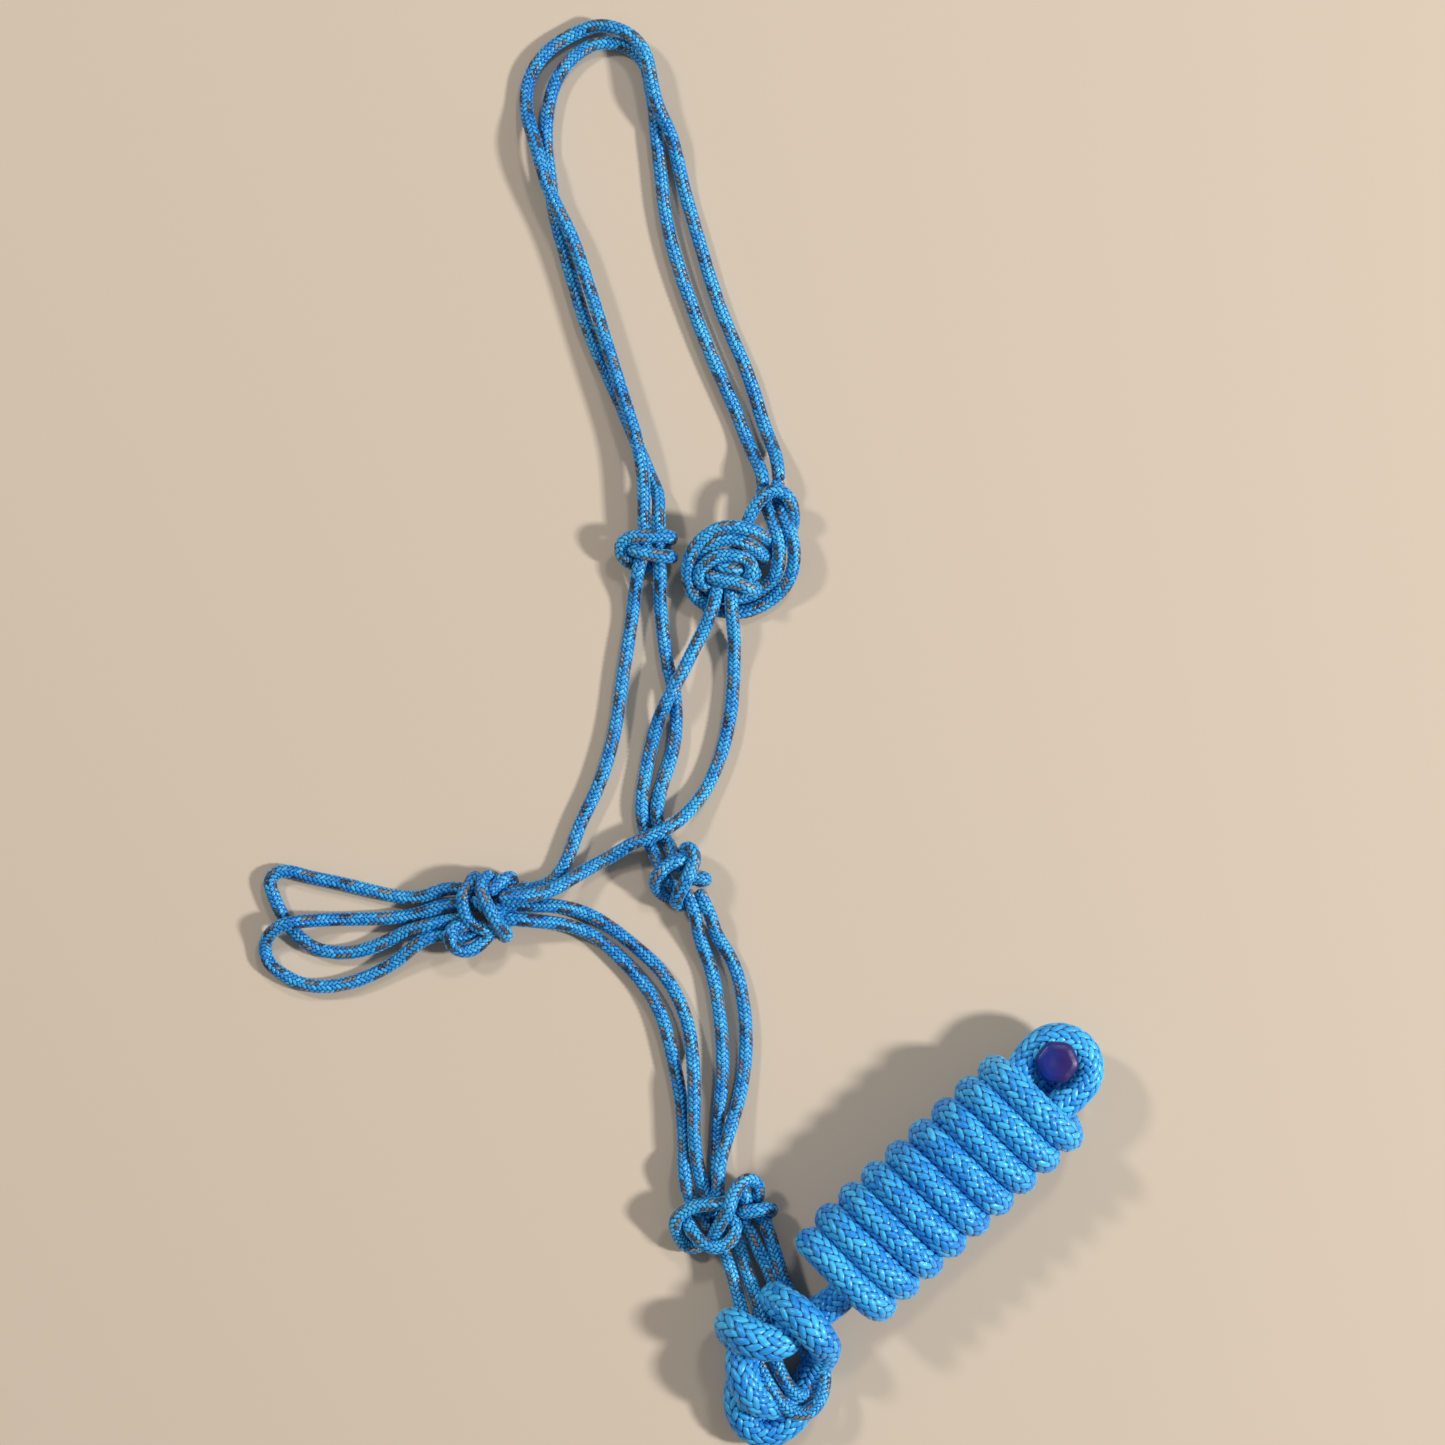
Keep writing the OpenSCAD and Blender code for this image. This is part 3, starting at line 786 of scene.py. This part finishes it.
free_cord("jaw_cord_right", reach(JAW_RIGHT, [(11, -76, KZ)], [(20.5, -228, 13.5), (16, -238, 11)]),
          fold="chin_fold", toward=CHIN_END)
free_cord("tie_eye_loop", reach(EYE, [(26, 86, 12)], [(34, 84, 6)]), body="cheeks")
free_cord("crown_tail_outer", TAIL_OUTER, body="cheeks")
free_cord("crown_tail_inner", TAIL_INNER, body="cheeks")
free_cord("lead_loop_outer", reach(LOOP_OUTER, [(23.5, -254, KZ)], [(40, -236, KZ)]),
          fold="lead_loop_fold", toward=LOOP_END)
free_cord("lead_loop_inner", reach(LOOP_INNER, [(29, -246, KZ)], [(33, -240, KZ)]),
          fold="lead_loop_fold", toward=LOOP_END)

tie("right_throat", "right_throat_knot", "cheeks", RIGHT_THROAT_KNOT,
    ["crown_cord_outer", "crown_cord_inner", "right_cheek_cord", "right_throat_cord"])
tie("left_throat", "left_throat_knot", "cheeks", LEFT_THROAT_KNOT,
    ["tie_eye_loop", "crown_tail_outer", "crown_tail_inner", "left_cheek_cord", "left_throat_cord"])
tie("jaw", "jaw_knot", "cheeks", JAW_KNOT,
    ["right_throat_cord", "left_throat_cord", "jaw_cord_left", "jaw_cord_right"])
tie("upper_nose", "upper_nose_knot", "cheeks", UPPER_NOSE_KNOT,
    ["right_cheek_cord", "left_cheek_cord", "noseband_cord_upper", "noseband_cord_lower",
     "chin_cord_front", "chin_cord_back"])
tie("lower_nose", "lower_nose_knot", "cheeks", LOWER_NOSE_KNOT,
    ["noseband_cord_upper", "noseband_cord_lower"])
tie("fiador", "fiador_knot", "chin", FIADOR_KNOT,
    ["chin_cord_front", "chin_cord_back", "jaw_cord_left", "jaw_cord_right",
     "lead_loop_outer", "lead_loop_inner"])

# ---------------------------------------------------------------- lead rope

HITCH = [
    # From inside the hitch the rope runs up to the left and dives under the left turn.
    (62, -327, 9.5), (57, -331.5, 10.5), (50, -332.5, 13), (43.5, -331, 17.5), (37.5, -326, 21.5),
    (34, -318.5, 22.5), (33, -310, 18.5), (36, -302, 12), (43, -295, 9), (49, -287, 8),
    # It comes up at the top, slants down to the right over everything and goes under the loop.
    (49.5, -280, 13), (51, -279.5, 22), (57, -282, 30), (64, -288, 33), (70.5, -296, 30.5),
    (74.3, -303, 21.5), (72, -310.5, 12.5), (67.5, -319, 8.3), (64, -329, 8), (59.5, -338.5, 8.5),
    # It rounds the bottom under the knot and runs up the left side.
    (51.5, -345.5, 8.5), (41.3, -346.8, 8.5), (34.2, -340.5, 8.5), (31.6, -331.5, 8.5),
    (33, -322, 8), (35, -312.5, 8), (33.5, -303.5, 8.5),
    # It rounds the left end and comes back over the cords, under the slanting turn.
    (28.2, -296, 13), (28, -291.6, 20.5), (33, -294.2, 26.4),
    (41, -298.2, 28.6), (50, -299, 27), (57.5, -296, 21.5), (64, -291, 16.5), (71, -286.5, 15.5),
]
# The two turns on top are pressed fat.
HITCH_SWELLS = [((38, -297, 28), 0.22, 15), ((64, -290, 32), 0.14, 16)]
NECK = [(80, -280, 16), (87, -272, 19), (92, -266, 22)]
HANK_SIDE = (92, -266, 16)  # a place on the hank's side of its swing axis

HANK_START = np.array([80.0, -268.0])
HANK_ANGLE = math.radians(42)
HANK_MIDDLE = 24.0  # height of the hank's middle
WRAPS = 9
WRAP_PITCH = 15.6
WRAP_POINTS = 16  # points of a wrap's route
WRAP_WIDE = 24.0  # half the width and half the height of a wrap's route
WRAP_HIGH = 16.0
WRAP_SLANT = 5.6  # how far along the hank a wrap goes on the top
FLAT_TOP = 1.6  # above 1, so that a wrap is flat on top and round at its sides
FIRST_WRAP = 2.0
LAST_SHARE = 0.375  # of the last wrap, which is left out where it turns under the end bight
WRAP_PIECES = 3
HANK_LENGTH = WRAPS * WRAP_PITCH
CORE_STARTS = 6.0
CORE_ENDS = 115.0
BIGHT_RING = 14.6  # radius of the end bight's route
BIGHT_OUT = 11.0  # from the last wrap to the middle of the end bight
BIGHT_LEFT = 4.0
BIGHT_MIDDLE = HANK_LENGTH + BIGHT_OUT


def on_hank(across, along_it, z):
    """A point given across the hank to the right, along it and by its height."""
    c, s = math.cos(HANK_ANGLE), math.sin(HANK_ANGLE)
    x = HANK_START[0] + along_it * c + across * s
    y = HANK_START[1] + along_it * s - across * c
    return (x, y, z)


def wrap_points():
    """The wraps from the near end to the far end, over the top from left to right.

    After the last wrap the rope passes under the end bight and comes up through it.
    """
    points = []
    last_seen = (WRAPS - LAST_SHARE) * WRAP_POINTS
    slant = WRAP_SLANT / WRAP_PITCH
    flat = WRAP_WIDE - WRAP_HIGH
    for k in range(int(last_seen) + 1):
        turn = k / WRAP_POINTS
        angle = math.pi - 2 * math.pi * turn
        share = turn % 1.0
        # On the top a wrap gains its slant, and under the hank it gains the rest of the pitch.
        gain = 2 * slant * share if share <= 0.5 else slant + (1 - slant) * (2 * share - 1)
        along_it = WRAP_PITCH * (int(turn) + gain) + FIRST_WRAP
        c, s = math.cos(angle), math.sin(angle)
        across = WRAP_HIGH * c + flat * max(-1.0, min(1.0, FLAT_TOP * c))
        points.append(on_hank(across, along_it, HANK_MIDDLE + WRAP_HIGH * s))
    points += [
        on_hank(9, BIGHT_MIDDLE - 14, 8.4),
        on_hank(0, BIGHT_MIDDLE - 8, 8),
        on_hank(-4, BIGHT_MIDDLE - 1.5, 11),
        on_hank(-4, BIGHT_MIDDLE, 18),
        on_hank(-4, BIGHT_MIDDLE, 27),
    ]
    return points


def bight_points():
    """The doubled core: out along the right, round the end bight and back along the left."""
    beside = (CORE_STARTS, 30, 60, 90, CORE_ENDS)
    out = [on_hank(LEAD.radius, y, HANK_MIDDLE) for y in beside]
    out.append(on_hank(10, HANK_LENGTH - 8, HANK_MIDDLE))
    ring = []
    for k in range(9):
        a = math.pi * k / 8
        across = BIGHT_RING * math.cos(a) - BIGHT_LEFT
        ring.append(on_hank(across, BIGHT_MIDDLE + BIGHT_RING * math.sin(a), HANK_MIDDLE))
    home = [on_hank(-14, HANK_LENGTH - 8, HANK_MIDDLE)]
    home += [on_hank(-LEAD.radius, y, HANK_MIDDLE) for y in reversed(beside)]
    return out + ring + home


def make_hitch():
    """The hitch on the lead loop and the rope between it and the hank."""
    line = spline(HITCH + NECK + [on_hank(LEAD.radius, 14, HANK_MIDDLE)], LEAD.step)
    hitch = rope_piece("lead_hitch_rope", LEAD, line, swells=HITCH_SWELLS)
    bend_at(hitch, "hank_swing", HANK_SIDE, before=4, after=14)
    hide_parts("lead_hitch", "lead_hitch_bight", "lead_neck")


def make_end_bight():
    """The core, whose loop past the last wrap holds the tip."""
    line = spline(bight_points(), LEAD.step)
    bight = rope_piece("lead_end_bight_rope", LEAD, line)
    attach(bight, "hank")
    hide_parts("lead_end_bight")


def make_wraps():
    """The wraps, cut into pieces that each stay within the limit on faces."""
    line = spline(wrap_points(), LEAD.step)
    for part in range(WRAP_PIECES):
        first = len(line) * part // WRAP_PIECES
        last = len(line) * (part + 1) // WRAP_PIECES + 1
        stretch = line[first:last]
        wraps = rope_piece(
            f"lead_hank_wraps_{part + 1}", LEAD, stretch,
            round_first=part == 0, round_last=part == WRAP_PIECES - 1, start_run=first * LEAD.step,
        )
        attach(wraps, "hank")
        if part == 0:
            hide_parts("lead_hank")


TIP_SIDES = 72
# The tip's radius and height, from inside the end bight up to the middle of its top.
TIP_OUTLINE = [
    (6.6, 16.0), (6.8, 23.0), (8.4, 27.5), (10.0, 30.5), (10.5, 32.6), (10.3, 34.4),
    (9.2, 35.7), (7.0, 36.4), (4.0, 36.4), (1.0, 36.1),
]
TIP_STEP = 0.6


def make_tip():
    """The dipped end of the rope, which stands up in the end bight."""
    middle = on_hank(-BIGHT_LEFT - 4, BIGHT_MIDDLE + 1, 0)
    outline = resample(np.array([(r, 0, z) for r, z in TIP_OUTLINE]), TIP_STEP)
    radius, height = outline[:, :1], outline[:, 2:]
    angle = 2 * np.pi * np.arange(TIP_SIDES) / TIP_SIDES
    # The dip has shrunk onto six strands, so it has six soft faces.
    facet = 1 + 0.035 * np.cos(6 * angle + 0.6) + 0.012 * np.sin(2 * angle + 1.0)
    rings = np.stack([
        middle[0] + radius * (facet * np.cos(angle))[None, :],
        middle[1] + radius * (facet * np.sin(angle))[None, :],
        np.repeat(height, TIP_SIDES, axis=1),
    ], axis=2)
    rows = np.linspace(0, 4, len(rings))
    piece = bpy.data.objects.new("lead_tip_dip", grid_mesh("lead_tip_dip", rings, rows))
    bpy.context.scene.collection.objects.link(piece)
    s = Shader("dipped_tip")
    place = s.node("ShaderNodeTexCoord").outputs["Object"]
    cloud = s.noise(place, 120.0, 3.0)
    across = s.node("ShaderNodeSeparateXYZ", {0: place}).outputs[0]
    # The dip is bluer towards its left and more purple towards its right.
    side = s.math("MULTIPLY_ADD", s.math("SUBTRACT", across, middle[0] * MM), 60.0, cloud)
    colour = s.mix(s.ramp(side, 0.1, 0.9), (0.002, 0.018, 0.2, 1), (0.024, 0.01, 0.12, 1))
    bump = s.node("ShaderNodeBump", {"Height": cloud, "Strength": 0.4, "Distance": 0.0008})
    s.surface_is(Base_Color=colour, Roughness=0.38, Normal=bump.outputs[0])
    piece.data.materials.append(s.material)
    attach(piece, "hank")
    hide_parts("lead_tip")


make_hitch()
make_end_bight()
make_wraps()
make_tip()

# ---------------------------------------------------------------- stage and light


FLOOR_HALF = 6.0


def make_floor():
    mesh = bpy.data.meshes.new("floor")
    corners = [(x * FLOOR_HALF, y * FLOOR_HALF, 0) for x, y in ((-1, -1), (1, -1), (1, 1), (-1, 1))]
    mesh.from_pydata(corners, [], [(0, 1, 2, 3)])
    floor = bpy.data.objects.new("floor", mesh)
    bpy.context.scene.collection.objects.link(floor)
    s = Shader("floor")
    s.surface_is(Base_Color=(0.61, 0.50, 0.385, 1), Roughness=0.9)
    mesh.materials.append(s.material)


def area_light(name, place, size, power):
    """A white light that faces the middle of the halter, with its size in metres and power in watts."""
    data = bpy.data.lights.new(name, "AREA")
    data.size = size
    data.energy = power
    light = bpy.data.objects.new(name, data)
    light.location = place
    aim = Vector((0.03, 0, 0)) - Vector(place)
    light.rotation_euler = aim.to_track_quat("-Z", "Y").to_euler()
    bpy.context.scene.collection.objects.link(light)


def make_world():
    """A dim, slightly blue sky."""
    world = bpy.data.worlds.new("world")
    world.use_nodes = True
    sky = world.node_tree.nodes["Background"]
    sky.inputs["Color"].default_value = (0.92, 0.95, 1.0, 1)
    sky.inputs["Strength"].default_value = 0.2
    bpy.context.scene.world = world


make_floor()
area_light("key", (3.3, -0.45, 2.35), 0.4, 158)
area_light("second", (-2.3, 1.9, 2.6), 0.45, 53)
area_light("third", (1.2, 2.4, 2.9), 0.45, 28)
make_world()
bpy.context.scene.view_settings.view_transform = "Standard"
